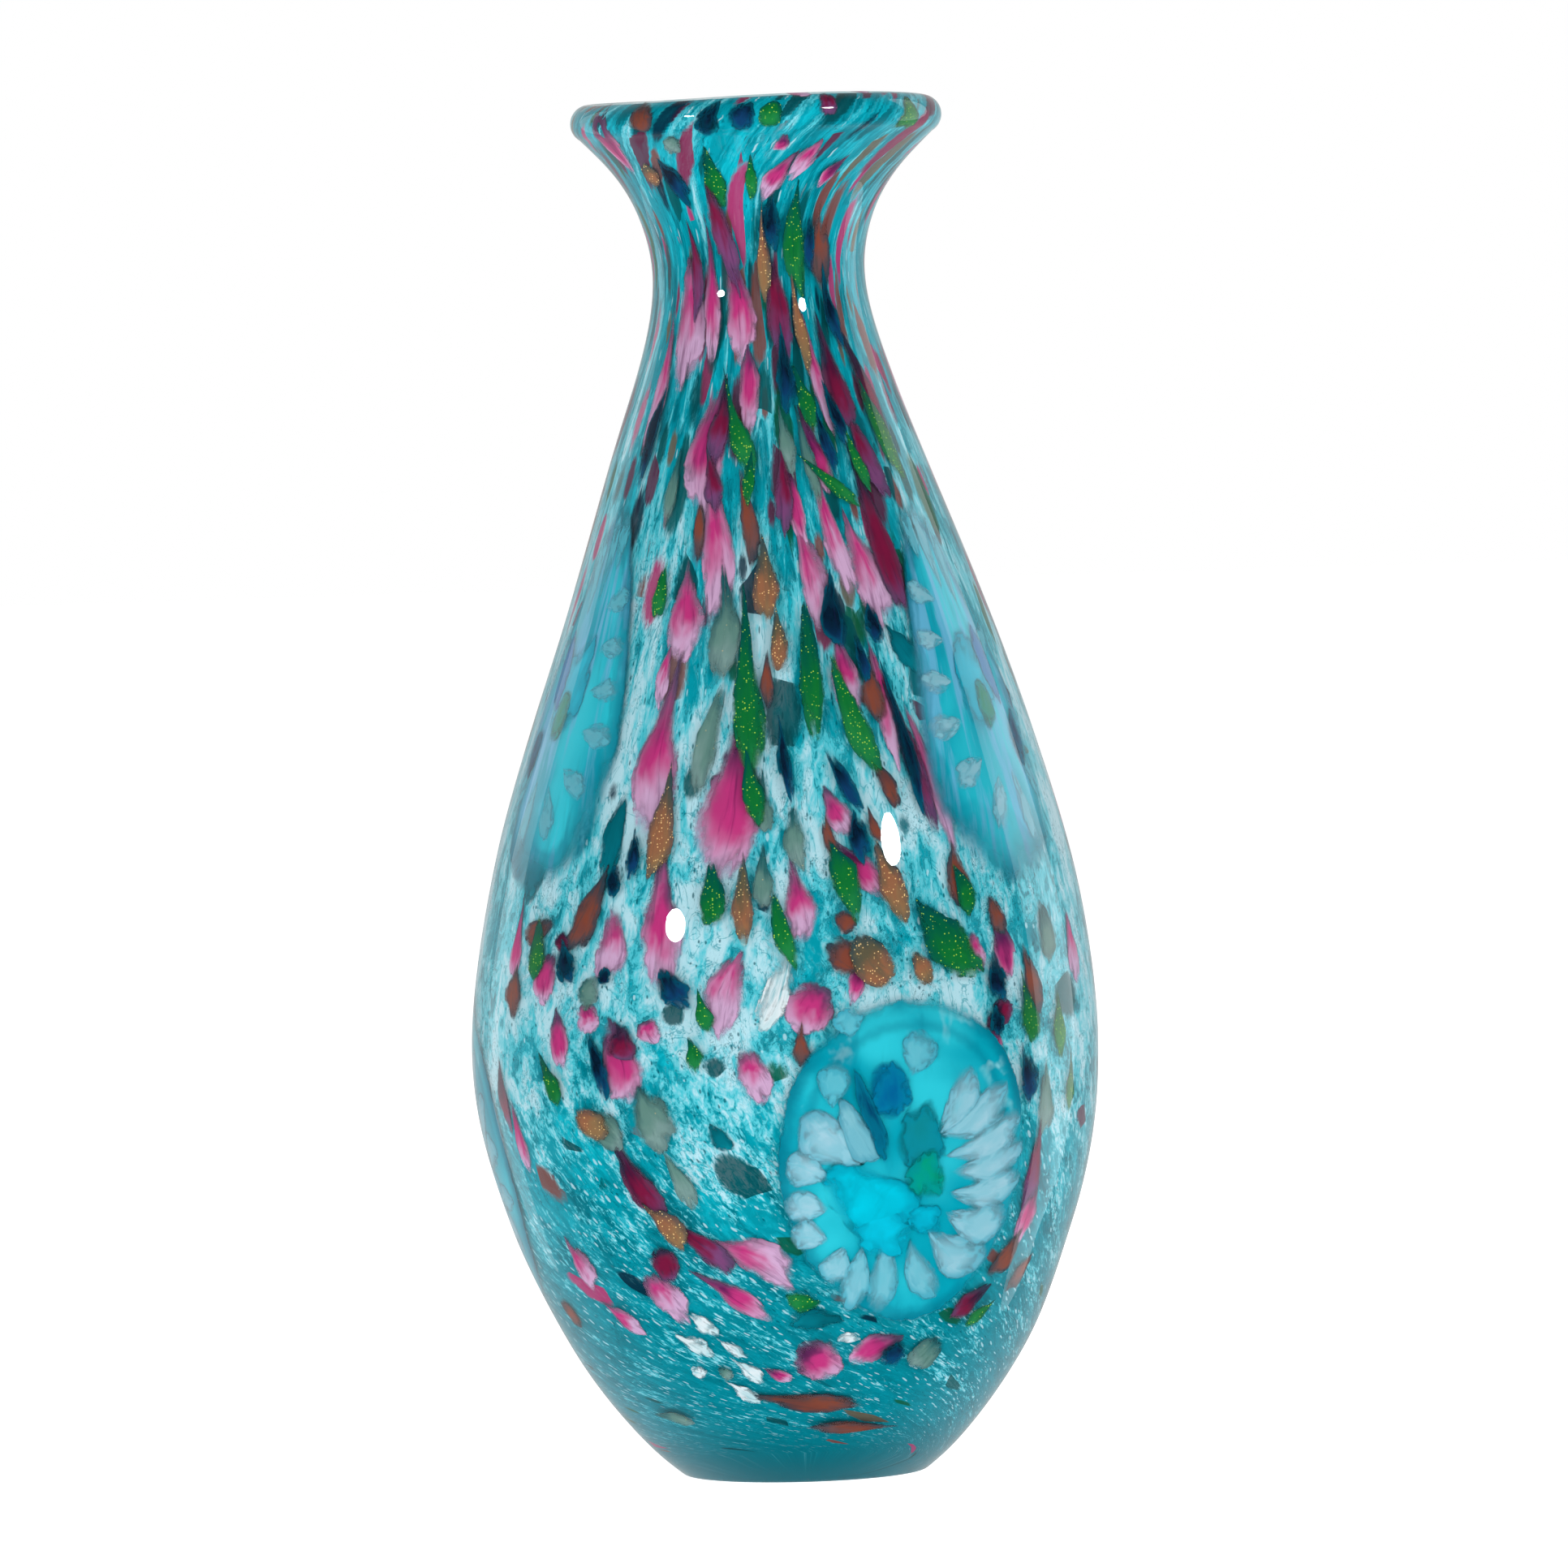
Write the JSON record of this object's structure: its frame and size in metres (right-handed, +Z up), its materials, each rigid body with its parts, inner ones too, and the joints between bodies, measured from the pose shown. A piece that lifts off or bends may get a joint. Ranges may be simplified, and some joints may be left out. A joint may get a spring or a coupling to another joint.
{
  "type": "hand blown art glass vase",
  "caption": "Slender hand blown glass vase with a flared lip, flower-like cane slices and coarse coloured chips cased in clear glass.",
  "frame": {"origin": "centre of the flat foot, on the surface the vase stands on", "axes": "+Z up along the axis of the vase, -Y towards the front with the large murrine right of centre"},
  "size_m": [0.1508, 0.1508, 0.33],
  "materials": {
    "clear_glass": "clear, fire polished",
    "clear_gather": "clear, inside the wall",
    "turquoise_glass": "mottled turquoise and pale aqua frit, fused smooth",
    "opal_glass": "pale opal, smooth inside of the bowl",
    "pink_glass": "pink chips that fade to white, under clear glass",
    "ruby_glass": "deep ruby chips, under clear glass",
    "green_aventurine": "green chips with fine metallic glitter",
    "copper_aventurine": "copper brown chips with coarse metallic glitter",
    "navy_glass": "near black blue chips",
    "rust_glass": "opaque rust chips",
    "smoke_glass": "grey olive chips",
    "white_glass": "opaque white chips",
    "teal_glass": "dark teal chips",
    "murrine_aqua": "turquoise cane slice with dark teal rim",
    "murrine_white": "soft white cells of the cane slice",
    "murrine_core": "bright turquoise centre with green and navy"
  },
  "bodies": {
    "root": {"clear_casing": "clear_glass", "colour_gather": "clear_gather", "turquoise_ground": "turquoise_glass", "opal_lining": "opal_glass", "pink_chips": "pink_glass", "ruby_chips": "ruby_glass", "green_chips": "green_aventurine", "copper_chips": "copper_aventurine", "navy_chips": "navy_glass", "rust_chips": "rust_glass", "smoke_chips": "smoke_glass", "white_chips": "white_glass", "teal_chips": "teal_glass", "lower_front_disc": "murrine_aqua", "lower_front_petals": "murrine_white", "lower_front_core": "murrine_core", "lower_back_disc": "murrine_aqua", "lower_back_petals": "murrine_white", "lower_back_core": "murrine_core", "lower_left_disc": "murrine_aqua", "lower_left_petals": "murrine_white", "lower_left_core": "murrine_core", "upper_left_disc": "murrine_aqua", "upper_left_petals": "murrine_white", "upper_left_core": "murrine_core", "upper_right_disc": "murrine_aqua", "upper_right_petals": "murrine_white", "upper_right_core": "murrine_core", "upper_back_disc": "murrine_aqua", "upper_back_petals": "murrine_white", "upper_back_core": "murrine_core"}
  },
  "joints": []
}
